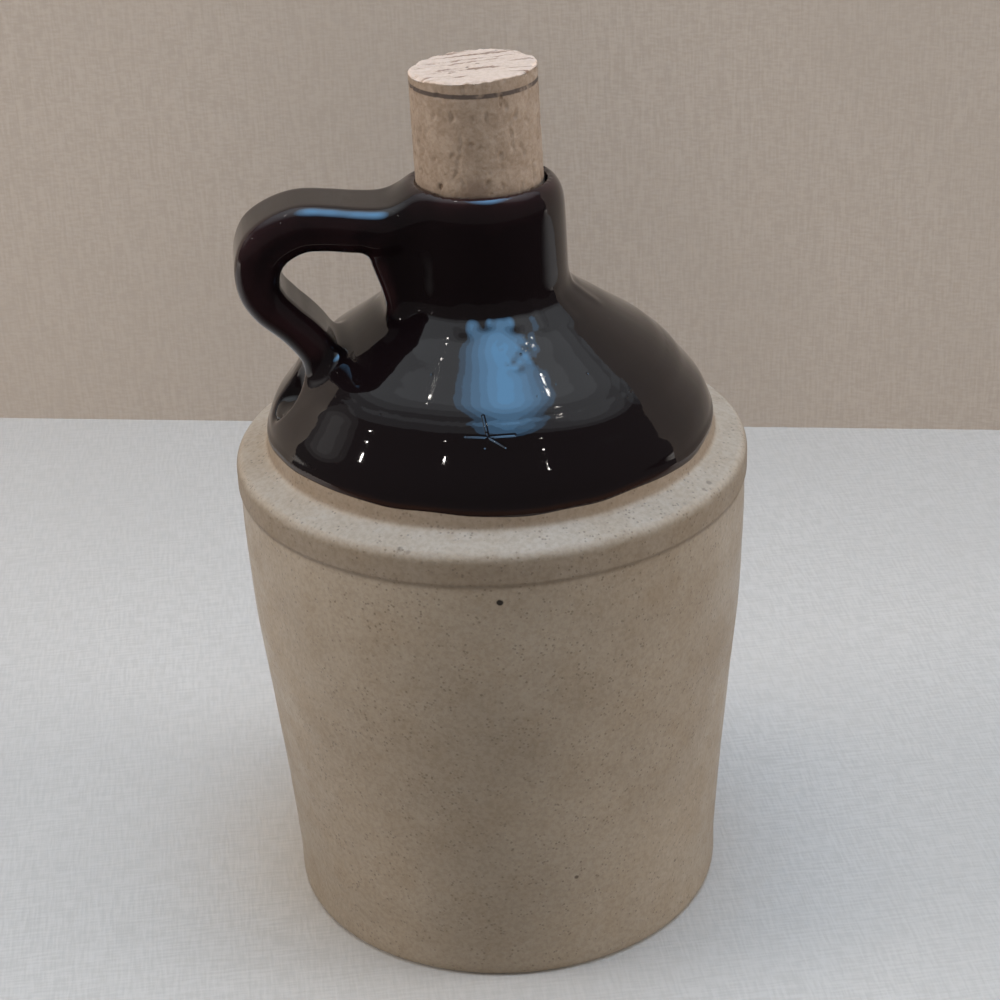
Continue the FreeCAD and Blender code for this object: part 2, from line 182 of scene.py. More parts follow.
# colours are linear, zones are heights in metres where each one fades in, depths are bumps in metres
stonewareLook = {
    "wall": (0.250, 0.204, 0.154),
    "wallPale": (0.286, 0.236, 0.180),
    "band": (0.208, 0.167, 0.125),
    # painted light: the ledge is the same bare clay as the band and the strip, coloured lighter as light falls on its
    # upper face
    "ledge": (0.345, 0.290, 0.232),
    "bareClay": (0.235, 0.183, 0.135),
    "cloudTint": (0.86, 0.80, 0.72),
    "grainTint": (0.74, 0.70, 0.66),
    "speck": (0.075, 0.052, 0.036),
    "iron": (0.012, 0.009, 0.008),
    "rust": (0.185, 0.128, 0.078),
    "sheen": 0.42,
    "matte": 0.66,
    "ior": 1.48,
    "bandZone": (0.0868, 0.0886),
    "ledgeZone": (0.0926, 0.0944),
    "stripZone": (0.0958, 0.0966),
    "fineSpecks": 0.42,
    "coarseSpecks": 0.7,
    "creaseShade": 0.28,
    "peelDepth": 0.00011,
    "pitDepth": 0.00007,
    "ringDepth": 0.00016,
    # iron specks, stains and chips: centre, radius and softness in millimetres, colour, amount
    "marks": (
        ((-4.7, -47.4, 84.9), 0.55, 0.15, "iron", 0.95),
        ((8.1, -42.6, 21.9), 0.42, 0.15, "speck", 0.85),
        ((8.5, -42.7, 22.7), 0.30, 0.12, "speck", 0.75),
        ((23.5, -41.4, 80.1), 2.6, 2.2, "rust", 0.32),
        ((27.5, -38.9, 81.0), 1.6, 1.4, "rust", 0.25),
        ((-46.9, 5.0, 66.0), 0.5, 0.15, "iron", 0.9),
        ((12.0, 45.9, 58.0), 0.6, 0.2, "iron", 0.85),
        ((36.0, 28.5, 40.0), 0.4, 0.15, "speck", 0.85),
        ((-20.0, 40.5, 30.0), 2.4, 2.0, "rust", 0.3),
        ((35.8, -28.4, 94.7), 0.5, 0.25, "speck", 0.5),
        ((34.5, -30.6, 94.7), 0.4, 0.25, "speck", 0.5),
        ((30.1, -35.3, 94.7), 0.45, 0.25, "speck", 0.35),
        ((-20.9, -41.9, 94.2), 0.5, 0.25, "speck", 0.40),
        ((-19.6, -42.8, 93.8), 0.4, 0.25, "speck", 0.35),
    ),
}


def stonewareMaterial(look):
    material, tree, surface, place = newMaterial("buffStoneware")
    up = coordinates(tree, place)[2]
    broad = noise(tree, place, 22, 3, 0.55)
    cloud = noise(tree, place, 95, 4, 0.6)
    grain = noise(tree, place, 1100, 3, 0.6)
    wall = blendColour(tree, spread(tree, broad, 0.38, 0.64), look["wall"], look["wallPale"])
    bandPart = spread(tree, up, *look["bandZone"])
    ledgePart = spread(tree, up, *look["ledgeZone"])
    strip = spread(tree, up, *look["stripZone"])
    colour = blendColour(tree, bandPart, wall, look["band"])
    # painted light: the upward-facing ledge gets a lighter clay colour
    colour = blendColour(tree, ledgePart, colour, look["ledge"])
    colour = blendColour(tree, strip, colour, look["bareClay"])
    colour = dappled(tree, spread(tree, cloud, 0.35, 0.72, 0.0, 0.5), colour, look["cloudTint"])
    colour = dappled(tree, spread(tree, grain, 0.35, 0.68, 0.0, 0.55), colour, look["grainTint"])
    # fine brown speckle, and a few larger iron specks
    fine = times(tree, spread(tree, cells(tree, place, 1150), 0.16, 0.34, 1.0, 0.0),
                 spread(tree, noise(tree, place, 420, 1), 0.44, 0.60))
    colour = blendColour(tree, times(tree, fine, look["fineSpecks"]), colour, look["speck"])
    elsewhere = stretched(tree, place, (1, 1, 1), shift=(3, 1, 2))
    coarse = times(tree, spread(tree, cells(tree, place, 150), 0.035, 0.075, 1.0, 0.0),
                   spread(tree, noise(tree, elsewhere, 60, 1), 0.60, 0.64))
    colour = blendColour(tree, times(tree, coarse, look["coarseSpecks"]), colour, look["speck"])
    ragged = maths(tree, "SUBTRACT", noise(tree, place, 900, 2), 0.5)
    for centre, radius, soft, shade, amount in look["marks"]:
        mask = times(tree, spotMask(tree, place, centre, radius, soft, ragged), amount)
        colour = blendColour(tree, mask, colour, look[shade])
    # painted shade: the crease under the band is darkened in the colour
    paintedCreaseShade = times(tree, spread(tree, up, 0.0872, 0.0879), spread(tree, up, 0.0881, 0.0889, 1.0, 0.0))
    colour = blendColour(tree, times(tree, paintedCreaseShade, look["creaseShade"]), colour, look["speck"])
    feed(tree, surface.inputs["Base Color"], colour)
    rough = maths(tree, "ADD", spread(tree, bandPart, 0.0, 1.0, look["sheen"], look["matte"]),
                  spread(tree, cloud, 0.3, 0.7, -0.05, 0.07))
    feed(tree, surface.inputs["Roughness"], rough)
    surface.inputs["IOR"].default_value = look["ior"]
    # a soft peel, pits at the specks, and the rings that the wheel left
    under = bumped(tree, surface, noise(tree, place, 420, 2, 0.5), look["peelDepth"])
    pits = maths(tree, "ADD", spread(tree, fine, 0.0, 1.0, 0.0, -0.6), grain)
    under = bumped(tree, surface, pits, look["pitDepth"], under)
    rings = noise(tree, stretched(tree, place, (6, 6, 260)), 1.0, 2, 0.5)
    bumped(tree, surface, rings, look["ringDepth"], under)
    return material


glazeLook = {
    "deep": (0.0045, 0.0026, 0.0030),
    "thin": (0.022, 0.0085, 0.0095),
    "edge": (0.022, 0.011, 0.008),
    "scratch": ((-4.2, -34.5, 110.4, -4.6, -31.7, 113.1), (-4.2, -34.5, 110.4, -7.9, -33.7, 110.5),
                (-4.2, -34.5, 110.4, 0.4, -34.7, 110.4), (-4.0, -34.6, 110.3, -1.4, -35.9, 108.9),
                (-4.2, -34.5, 110.4, -4.9, -35.8, 109.1)),
    "scratchWidth": 0.12,
    "scratchSoft": 0.26,
    "scratchDepth": 0.00012,
    "gloss": 0.03,
    "glossSpread": 0.03,
    "ior": 1.50,
    "waveDepth": 0.00009,
    "peelDepth": 0.000012,
    "pinholeDepth": 0.00005,
}


def glazeMaterial(look):
    material, tree, surface, place = newMaterial("blackBrownGlaze")
    patchy = noise(tree, place, 140, 3, 0.6)
    thin = times(tree, storedValue(tree, "thinGlaze"), spread(tree, patchy, 0.25, 0.65, 0.35, 1.0))
    colour = blendColour(tree, thin, look["deep"], look["thin"])
    colour = blendColour(tree, storedValue(tree, "glazeHem"), colour, look["edge"])
    feed(tree, surface.inputs["Base Color"], colour)
    dull = noise(tree, place, 60, 3, 0.6)
    feed(tree, surface.inputs["Roughness"],
         spread(tree, dull, 0.35, 0.75, look["gloss"], look["gloss"] + look["glossSpread"]))
    surface.inputs["IOR"].default_value = look["ior"]
    # slow waves of the melted glaze, a faint orange peel, and pinholes
    waves = noise(tree, place, 60, 2, 0.45)
    under = bumped(tree, surface, waves, look["waveDepth"])
    under = bumped(tree, surface, noise(tree, place, 420, 2, 0.5), look["peelDepth"], under)
    pinholes = spread(tree, cells(tree, place, 210), 0.02, 0.06)
    under = bumped(tree, surface, pinholes, look["pinholeDepth"], under)
    # a small scratch like a bird's foot on the front of the dome
    cuts = None
    for line in look["scratch"]:
        cut = strokeMask(tree, place, line[:3], line[3:], look["scratchWidth"], look["scratchSoft"])
        cuts = cut if cuts is None else maths(tree, "MAXIMUM", cuts, cut)
    bumped(tree, surface, cuts, -look["scratchDepth"], under)
    return material


corkLook = {
    "bark": (0.245, 0.183, 0.136),
    "pale": (0.300, 0.232, 0.178),
    "pore": (0.105, 0.060, 0.034),
    "top": (0.600, 0.460, 0.370),
    "topShade": (0.470, 0.345, 0.265),
    "growthLine": (0.220, 0.130, 0.085),
    "grainTint": (0.72, 0.66, 0.60),
    "ink": (0.060, 0.045, 0.040),
    "stain": (0.140, 0.095, 0.070),
    "stainSpot": (-2.0, -11.3, 146.6),
    "ringHeight": 163.4,
    "ringWidth": 0.8,
    "growthTurn": -12,
    "roughness": 0.88,
    "ior": 1.40,
    "barkDepth": 0.00022,
    "grainDepth": 0.00012,
}


def corkMaterial(look):
    material, tree, surface, place = newMaterial("usedCork")
    up = coordinates(tree, place)[2]
    clump = noise(tree, place, 260, 4, 0.62)
    grain = noise(tree, place, 1200, 3, 0.6)
    colour = blendColour(tree, spread(tree, clump, 0.34, 0.66), look["bark"], look["pale"])
    colour = dappled(tree, spread(tree, grain, 0.36, 0.68, 0.0, 0.55), colour, look["grainTint"])
    top = storedValue(tree, "cutTop")
    fresh = blendColour(tree, spread(tree, grain, 0.35, 0.7, 0.0, 0.5), look["top"], look["topShade"])
    colour = blendColour(tree, top, colour, fresh)
    # the growth lines that the knife opened, across the cut top
    across = stretched(tree, place, (55, 900, 200), turn=(0, 0, math.radians(look["growthTurn"])))
    lineMask = times(tree, spread(tree, noise(tree, across, 1.0, 3, 0.6, 0.6), 0.57, 0.65), top)
    colour = blendColour(tree, times(tree, lineMask, 0.85), colour, look["growthLine"])
    # lenticels: short dark pores that run up the side
    pores = cells(tree, stretched(tree, place, (1, 1, 0.42)), 330)
    poreMask = times(tree, spread(tree, pores, 0.08, 0.19, 1.0, 0.0),
                     spread(tree, noise(tree, place, 190, 2), 0.55, 0.62))
    colour = blendColour(tree, times(tree, poreMask, 0.65), colour, look["pore"])
    # one printed ring below the top
    off = maths(tree, "ABSOLUTE", maths(tree, "SUBTRACT", up, look["ringHeight"] * mm))
    ring = spread(tree, off, look["ringWidth"] * 0.35 * mm, look["ringWidth"] * 0.65 * mm, 1.0, 0.0)
    ring = times(tree, ring, spread(tree, noise(tree, place, 420, 2), 0.34, 0.48, 0.35, 0.9))
    ring = times(tree, ring, maths(tree, "SUBTRACT", 1.0, top))
    colour = blendColour(tree, ring, colour, look["ink"])
    # damp stain at the foot of the shown part, darker at the front
    wet = spread(tree, up, 0.1452, 0.1492, 1.0, 0.0)
    wet = times(tree, wet, spread(tree, noise(tree, place, 170, 3, 0.6), 0.42, 0.60))
    spot = spotMask(tree, place, look["stainSpot"], 2.4, 1.4, maths(tree, "SUBTRACT", clump, 0.5))
    damp = maths(tree, "MAXIMUM", times(tree, wet, 0.5), spot)
    colour = blendColour(tree, times(tree, damp, 0.62), colour, look["stain"])
    feed(tree, surface.inputs["Base Color"], colour)
    surface.inputs["Roughness"].default_value = look["roughness"]
    surface.inputs["IOR"].default_value = look["ior"]
    under = bumped(tree, surface, maths(tree, "SUBTRACT", clump, poreMask), look["barkDepth"])
    bumped(tree, surface, maths(tree, "SUBTRACT", grain, lineMask), look["grainDepth"], under)
    return material


stoneware = stonewareMaterial(stonewareLook)
glaze = glazeMaterial(glazeLook)
corkBark = corkMaterial(corkLook)
print("finishes made")


# an outline is a list of (radius, height) in millimetres
def softLine(points, step):
    # a smooth line through the points, cut into lengths of about step
    pts = [np.array(point, float) for point in points]
    pts = [2 * pts[0] - pts[1]] + pts + [2 * pts[-1] - pts[-2]]
    out = []
    for a, b, c, d in zip(pts, pts[1:], pts[2:], pts[3:]):
        count = max(1, round(float(np.linalg.norm(c - b)) / step))
        for i in range(count):
            t = i / count
            square = (2 * a - 5 * b + 4 * c - d) * t**2
            cube = (3 * b - a - 3 * c + d) * t**3
            out.append(0.5 * (2 * b + (c - a) * t + square + cube))
    return out + [pts[-2]]


def roundCorner(centre, radius, first, last, count):
    angles = np.radians(np.linspace(first, last, count))
    return [np.array([centre[0] + radius * math.cos(a), centre[1] + radius * math.sin(a)]) for a in angles]


def straight(first, last, step):
    count = max(1, round(math.dist(first, last) / step))
    start, end = np.array(first, float), np.array(last, float)
    return [start + (end - start) * i / count for i in range(count + 1)]


# Geometry Nodes turn an outline about Z, with a slow wobble of the wheel
def latheTree():
    tree = bpy.data.node_groups.new("turnedOutline", "GeometryNodeTree")
    face = tree.interface
    for label, kind in (("Outline", "Geometry"), ("Steps Around", "Int"), ("Wobble", "Float"),
                        ("Wobble Scale", "Float"), ("Seed", "Float"), ("Finish", "Material")):
        face.new_socket(label, in_out="INPUT", socket_type="NodeSocket" + kind)
    face.new_socket("Turned", in_out="OUTPUT", socket_type="NodeSocketGeometry")
    given = tree.nodes.new("NodeGroupInput")
    made = tree.nodes.new("NodeGroupOutput")

    def node(kind, **settings):
        item = tree.nodes.new(kind)
        for key, value in settings.items():
            setattr(item, key, value)
        return item

    def reckon(operation, first, second=0.0):
        return maths(tree, operation, first, second)

    size = node("GeometryNodeAttributeDomainSize")
    tree.links.new(given.outputs["Outline"], size.inputs["Geometry"])
    rows = size.outputs["Point Count"]
    grid = node("GeometryNodeMeshGrid")
    grid.inputs["Size X"].default_value = 1.0
    grid.inputs["Size Y"].default_value = 1.0
    tree.links.new(reckon("ADD", given.outputs["Steps Around"], 1), grid.inputs["Vertices X"])
    tree.links.new(rows, grid.inputs["Vertices Y"])
    where = node("GeometryNodeInputPosition")
    parts = node("ShaderNodeSeparateXYZ")
    tree.links.new(where.outputs[0], parts.inputs[0])
    angle = reckon("MULTIPLY", reckon("ADD", parts.outputs["X"], 0.5), 2 * math.pi)
    row = reckon("ROUND", reckon("MULTIPLY", reckon("ADD", parts.outputs["Y"], 0.5), reckon("SUBTRACT", rows, 1)))
    outlinePoint = node("GeometryNodeSampleIndex", data_type="FLOAT_VECTOR", domain="POINT")
    tree.links.new(given.outputs["Outline"], outlinePoint.inputs["Geometry"])
    tree.links.new(node("GeometryNodeInputPosition").outputs[0], outlinePoint.inputs["Value"])
    tree.links.new(row, outlinePoint.inputs["Index"])
    outline = node("ShaderNodeSeparateXYZ")
    tree.links.new(outlinePoint.outputs["Value"], outline.inputs[0])
    around = (reckon("COSINE", angle), reckon("SINE", angle))
    turned = node("ShaderNodeCombineXYZ")
    tree.links.new(reckon("MULTIPLY", outline.outputs["X"], around[0]), turned.inputs["X"])
    tree.links.new(reckon("MULTIPLY", outline.outputs["X"], around[1]), turned.inputs["Y"])
    tree.links.new(outline.outputs["Z"], turned.inputs["Z"])
    # the wheel's wobble: a slow noise that moves each point a little inwards
    drift = node("ShaderNodeTexNoise", noise_dimensions="4D")
    tree.links.new(turned.outputs[0], drift.inputs["Vector"])
    tree.links.new(given.outputs["Seed"], drift.inputs["W"])
    tree.links.new(given.outputs["Wobble Scale"], drift.inputs["Scale"])
    drift.inputs["Detail"].default_value = 1.5
    inwards = reckon("MULTIPLY", reckon("MULTIPLY", drift.outputs["Fac"], given.outputs["Wobble"]), -1.0)
    inwards = reckon("MULTIPLY", inwards, reckon("MINIMUM", reckon("MULTIPLY", outline.outputs["X"], 60.0), 1.0))
    push = node("ShaderNodeCombineXYZ")
    tree.links.new(reckon("MULTIPLY", inwards, around[0]), push.inputs["X"])
    tree.links.new(reckon("MULTIPLY", inwards, around[1]), push.inputs["Y"])
    place = node("GeometryNodeSetPosition")
    tree.links.new(grid.outputs["Mesh"], place.inputs["Geometry"])
    tree.links.new(turned.outputs[0], place.inputs["Position"])
    tree.links.new(push.outputs[0], place.inputs["Offset"])
    weld = node("GeometryNodeMergeByDistance")
    weld.inputs["Distance"].default_value = weldGap
    tree.links.new(place.outputs[0], weld.inputs["Geometry"])
    smooth = node("GeometryNodeSetShadeSmooth")
    tree.links.new(weld.outputs[0], smooth.inputs["Geometry"])
    real = node("GeometryNodeRealizeInstances")
    tree.links.new(smooth.outputs[0], real.inputs["Geometry"])
    finish = node("GeometryNodeSetMaterial")
    tree.links.new(real.outputs[0], finish.inputs["Geometry"])
    tree.links.new(given.outputs["Finish"], finish.inputs["Material"])
    tree.links.new(finish.outputs[0], made.inputs["Turned"])
    return tree


def turnedPiece(name, outline, tree, finish, shape):
    mesh = bpy.data.meshes.new(name + "Outline")
    mesh.from_pydata([(r * mm, 0, z * mm) for r, z in outline], [(i, i + 1) for i in range(len(outline) - 1)], [])
    source = bpy.data.objects.new(name + "Outline", mesh)
    scene.collection.objects.link(source)
    modifier = source.modifiers.new("turn", "NODES")
    modifier.node_group = tree
    sockets = {item.name: item.identifier for item in tree.interface.items_tree if item.in_out == "INPUT"}
    for key, value in (("Steps Around", shape["around"]), ("Wobble", shape["wobble"] * mm),
                       ("Wobble Scale", shape["wobbleScale"]), ("Seed", shape["seed"]), ("Finish", finish)):
        modifier[sockets[key]] = value
    graph = bpy.context.evaluated_depsgraph_get()
    made = bpy.data.meshes.new_from_object(source.evaluated_get(graph))
    bpy.data.objects.remove(source)
    made.name = name
    return finishPiece(name, made, finish)


def finishPiece(name, mesh, finish):
    # merges what meets, points the faces outwards and links the object
    work = bmesh.new()
    work.from_mesh(mesh)
    bmesh.ops.remove_doubles(work, verts=work.verts, dist=weldGap)
    bmesh.ops.recalc_face_normals(work, faces=work.faces)
    for polygon in work.faces:
        polygon.smooth = True
        polygon.material_index = 0
    work.to_mesh(mesh)
    openEdges = sum(1 for edge in work.edges if not edge.is_manifold)
    work.free()
    mesh.materials.clear()
    mesh.materials.append(finish)
    piece = bpy.data.objects.new(name, mesh)
    scene.collection.objects.link(piece)
    print(name, "has", len(mesh.polygons), "faces and", openEdges, "open edges")
    return piece


bodyShape = {
    "footRadius": 42.2,
    "bandRadius": 48.08,
    "bandRound": 2.3,
    "ledgeInner": 42.4,
    "around": 288,
    "wobble": 0.16,
    "wobbleScale": 22.0,
    "seed": 4.0,
}


def bodyOutline(shape):
    foot = shape["footRadius"]
    band = shape["bandRadius"]
    curve = shape["bandRound"]
    outline = straight((0, 0.7), (37.0, 0.7), 4.0)
    outline += softLine([(38.2, 0.55), (39.6, 0.02), (41.0, 0.0), (41.9, 0.55), (foot, 1.5)], 0.35)
    outline += softLine([(foot + 0.05, 2.2), (42.3, 7.8), (42.8, 15.7), (43.35, 23.5), (44.0, 31.4), (44.7, 39.2),
                         (45.4, 47.0), (46.2, 55.0), (46.9, 63.0), (47.3, 72.0), (47.6, 80.0), (47.66, 87.2)], 1.0)
    outline += softLine([(47.66, 87.6), (47.72, 88.0), (47.98, 88.4), (band, 88.9)], 0.25)
    outline += straight((band, 89.3), (band, 91.9), 0.5)
    outline += roundCorner((band - curve, 92.2), curve, 0, 70, 12)
    outline += softLine([(46.0, 94.55), (44.7, 95.0), (43.3, 95.5), (shape["ledgeInner"], 96.0), (41.98, 96.7),
                         (41.85, 97.8), (41.62, 99.0), (41.12, 100.4), (40.4, 101.8), (39.3, 103.2)], 0.28)
    outline += straight((38.2, 103.4), (0, 103.4), 4.0)
    return [(r, max(z, 0.0)) for r, z in outline]


lathe = latheTree()
clayBody = turnedPiece("clayBody", bodyOutline(bodyShape), lathe, stoneware, bodyShape)
print("body turned")


# the glazed top is one skin: dome, neck, lip, strap and web; sizes in millimetres
topShape = {
    "dome": [(41.9, 98.0), (41.3, 100.0), (40.7, 102.0), (39.7, 104.0), (38.2, 106.0), (36.6, 108.0), (35.1, 110.0),
             (33.4, 111.7), (31.2, 113.7), (28.5, 115.6), (25.6, 117.6), (22.8, 119.6), (20.0, 121.5), (17.7, 123.3),
             (15.95, 125.0), (15.35, 127.4), (15.2, 131.0), (15.1, 135.0), (15.0, 138.6), (14.86, 140.9),
             (14.55, 142.5), (14.0, 143.8), (13.25, 144.75), (12.5, 145.15), (12.1, 145.05), (11.95, 144.5),
             (11.9, 142.4), (11.9, 139.6), (11.9, 134.0), (11.9, 127.0)],
    "strap": [(8.0, 139.9), (13.0, 139.4), (18.0, 138.6), (23.0, 138.9), (28.0, 139.6), (32.5, 139.8), (36.3, 138.6),
              (39.3, 136.4), (40.8, 133.0), (40.8, 129.0), (39.2, 125.7), (36.8, 123.1), (34.0, 120.2), (31.6, 116.9),
              (30.3, 113.3), (30.1, 109.6), (31.0, 105.0), (31.8, 101.0)],
    # across the strap, from its top end at 0 to its tail at 1: thickest in the bend, thin at the tail
    "strapThick": [(0, 8.8), (0.12, 8.0), (0.28, 8.2), (0.45, 9.0), (0.56, 7.6), (0.68, 6.6), (0.8, 7.0), (1, 7.4)],
    "strapBroad": [(0, 17.4), (0.3, 16.4), (0.6, 16.2), (0.85, 16.6), (1, 17.6)],
    "strapCorner": 3.5,
    "strapMeld": 3.2,
    "web": [(10.0, 139.0), (19.2, 137.5), (18.2, 133.0), (16.8, 128.6), (15.8, 124.5), (14.0, 121.0), (10.0, 121.0)],
    "webHalfWidth": 5.2,
    "webRound": 2.5,
    "webMeld": 2.0,
    "dentCentre": (-37.5, -2.4, 109.6),
    "dentRadii": (4.3, 4.4, 8.0),
    "dentMeld": 1.2,
    "voxel": 0.52,
    "rounds": 4,
    "hemHeight": 99.15,
    "hemBead": 0.16,
    "hemWaves": ((2, 0.4, 0.20), (3, 2.1, 0.16), (5, 0.9, 0.14), (8, 4.0, 0.10), (13, 1.3, 0.08), (21, 5.1, 0.05)),
    # each run of glaze: angle, lowest and highest point, width, thickness
    "runs": ((-1.90, 121.6, 127.2, 1.5, 0.22), (-1.66, 122.6, 127.0, 1.2, 0.20), (-1.40, 122.0, 127.4, 1.6, 0.26),
             (-1.12, 121.2, 127.0, 1.3, 0.20), (-0.75, 121.0, 127.4, 1.5, 0.18), (-0.2, 120.2, 127.3, 1.4, 0.16),
             (0.6, 119.5, 127.4, 1.6, 0.20), (1.5, 120.0, 127.2, 1.4, 0.18), (2.3, 119.4, 127.3, 1.5, 0.18)),
    "blisters": 26,
    "blisterAngle": -1.44,
    "blisterHeight": 119.6,
    "blisterSeed": 11,
    "thinFrom": 0.006,
    "thinSpan": 0.022,
    "lipTilt": 0.035,
}


def outlineDistance(points, outline):
    # signed distance to a closed outline, negative inside, with the way out of it
    starts = np.array(outline)
    ends = np.roll(starts, -1, axis=0)
    along = ends - starts
    lengths = (along**2).sum(1) + 1e-12
    distance = np.empty(len(points))
    way = np.empty((len(points), 2))
    for first in range(0, len(points), rowsAtOnce):
        some = points[first:first + rowsAtOnce]
        apart = some[:, None, :] - starts[None]
        share = np.clip((apart * along[None]).sum(2) / lengths[None], 0, 1)
        gap = apart - share[:, :, None] * along[None]
        squares = (gap**2).sum(2)
        nearest = squares.argmin(1)
        rows = np.arange(len(some))
        crosses = (starts[None, :, 1] > some[:, None, 1]) != (ends[None, :, 1] > some[:, None, 1])
        slope = along[None, :, 0] * (some[:, None, 1] - starts[None, :, 1]) / (along[None, :, 1] + 1e-12)
        inside = ((crosses & (some[:, None, 0] < slope + starts[None, :, 0])).sum(1) % 2) == 1
        length = np.sqrt(squares[rows, nearest])
        sign = np.where(inside, -1.0, 1.0)
        distance[first:first + rowsAtOnce] = sign * length
        way[first:first + rowsAtOnce] = sign[:, None] * gap[rows, nearest] / (length[:, None] + 1e-9)
    return distance, way


def meld(first, firstWay, second, secondWay, soft):
    # joins two solids with a hollow about as round as soft
    share = np.clip(0.5 + 0.5 * (second - first) / soft, 0, 1)
    value = second * (1 - share) + first * share - soft * share * (1 - share)
    return value, secondWay * (1 - share)[:, None] + firstWay * share[:, None]


def differences(function, points, step=0.01):
    value = function(points)
    way = np.stack([(function(points + step * axis) - value) / step for axis in np.eye(3)], 1)
    return value, way


def glazedSurface(shape):
    # gives, for points in millimetres, how far outside the glazed top they are and the way out
    dome = softLine(shape["dome"], 0.3)
    pot = [np.array((0.0, 94.5)), np.array((41.9, 94.5))] + dome + [np.array((0.0, 127.0))]
    path = np.array(softLine(shape["strap"], 0.6))
    path[:, 0] *= -1
    run = np.r_[0, np.cumsum(np.linalg.norm(np.diff(path, axis=0), axis=1))]
    run = run / run[-1]
    thick = np.interp(run, *zip(*shape["strapThick"])) / 2
    broad = np.interp(run, *zip(*shape["strapBroad"])) / 2
    web = [np.array((-r, z)) for r, z in shape["web"]]
    corner = shape["strapCorner"]

    def strap(points):
        flat = points[:, [0, 2]]
        value = np.empty(len(points))
        for first in range(0, len(points), rowsAtOnce):
            some = flat[first:first + rowsAtOnce]
            apart = some[:, None, :] - path[None, :-1]
            along = path[1:] - path[:-1]
            share = np.clip((apart * along[None]).sum(2) / (along**2).sum(1)[None], 0, 1)
            gap = apart - share[:, :, None] * along[None]
            squares = (gap**2).sum(2)
            nearest = squares.argmin(1)
            rows = np.arange(len(some))
            here = nearest + share[rows, nearest]
            halfThick = np.interp(here, np.arange(len(path)), thick)
            halfBroad = np.interp(here, np.arange(len(path)), broad)
            across = np.sqrt(squares[rows, nearest])
            width = np.abs(points[first:first + rowsAtOnce, 1])
            a = across - (halfThick - corner)
            b = width - (halfBroad - corner)
            value[first:first + rowsAtOnce] = (np.hypot(np.maximum(a, 0), np.maximum(b, 0))
                                               + np.minimum(np.maximum(a, b), 0) - corner)
        return value

    def webBlock(points):
        side, _ = outlineDistance(points[:, [0, 2]], web)
        width = np.abs(points[:, 1]) - shape["webHalfWidth"]
        return (np.hypot(np.maximum(side, 0), np.maximum(width, 0))
                + np.minimum(np.maximum(side, width), 0) - shape["webRound"])

    def thumbDent(points):
        # the leaf-shaped hollow that a thumb left on the tail
        local = (points - np.array(shape["dentCentre"])) / np.array(shape["dentRadii"])
        return (np.linalg.norm(local, axis=1) - 1) * 4.0

    def surface(points):
        radius = np.hypot(points[:, 0], points[:, 1])
        value, flat = outlineDistance(np.stack([radius, points[:, 2]], 1), pot)
        unit = points[:, :2] / (radius[:, None] + 1e-9)
        way = np.stack([flat[:, 0] * unit[:, 0], flat[:, 0] * unit[:, 1], flat[:, 1]], 1)
        near = np.where((points[:, 0] < -9) & (np.abs(points[:, 1]) < 18))[0]
        if len(near):
            some = points[near]
            handle = differences(strap, some)
            handle = meld(*handle, *differences(webBlock, some), shape["webMeld"])
            joined = meld(*handle, value[near], way[near], shape["strapMeld"])
            dent, dentWay = differences(thumbDent, some)
            carved = meld(-joined[0], -joined[1], dent, dentWay, shape["dentMeld"])
            value[near], way[near] = -carved[0], -carved[1]
        return value, way

    return surface, pot, path, thick, broad


def ringsMesh(rings, name):
    # a closed tube through rings of points, with flat ends
    count = len(rings[0])
    points = [tuple(point * mm for point in p) for ring in rings for p in ring]
    faces = []
    for i in range(len(rings) - 1):
        for j in range(count):
            k = (j + 1) % count
            faces.append((i * count + j, i * count + k, (i + 1) * count + k, (i + 1) * count + j))
    faces.append(tuple(range(count)))
    faces.append(tuple((len(rings) - 1) * count + j for j in reversed(range(count))))
    mesh = bpy.data.meshes.new(name)
    mesh.from_pydata(points, [], faces)
    return mesh


def roughTop(shape, pot, path, thick, broad):
    # the dome, the strap and the web as plain solids, joined and remeshed evenly
    rough = bmesh.new()
    turns = np.radians(np.linspace(0, 360, 145)[:-1])
    rings = [[(r * math.cos(a), r * math.sin(a), z) for a in turns] for r, z in pot[1:-1:2]]
    inner = pot[-2]
    rings.append([(inner[0] * math.cos(a), inner[0] * math.sin(a), inner[1]) for a in turns])
    rough.from_mesh(ringsMesh(rings, "roughDome"))
    slopes = np.gradient(path, axis=0)
    slopes /= np.linalg.norm(slopes, axis=1)[:, None]
    oval = np.radians(np.linspace(0, 360, 25)[:-1])
    rings = []
    for point, slope, half, wide in list(zip(path, slopes, thick, broad))[8:-6:3]:
        ring = []
        for a in oval:
            up = math.copysign(abs(math.sin(a)) ** 0.6, math.sin(a)) * half
            side = math.copysign(abs(math.cos(a)) ** 0.6, math.cos(a)) * wide
            ring.append((point[0] - slope[1] * up, side, point[1] + slope[0] * up))
        rings.append(ring)
    rough.from_mesh(ringsMesh(rings, "roughStrap"))
    half = shape["webHalfWidth"] + shape["webRound"] - 0.8
    sides = [[(-r - 1.6, y, z) for r, z in shape["web"]] for y in (-half, half)]
    rough.from_mesh(ringsMesh(sides, "roughWeb"))
    mesh = bpy.data.meshes.new("roughTop")
    bmesh.ops.recalc_face_normals(rough, faces=rough.faces)
    rough.to_mesh(mesh)
    rough.free()
    source = bpy.data.objects.new("roughTop", mesh)
    scene.collection.objects.link(source)
    remesh = source.modifiers.new("even", "REMESH")
    remesh.mode = "VOXEL"
    remesh.voxel_size = shape["voxel"] * mm
    graph = bpy.context.evaluated_depsgraph_get()
    made = bpy.data.meshes.new_from_object(source.evaluated_get(graph))
    bpy.data.objects.remove(source)
    return made


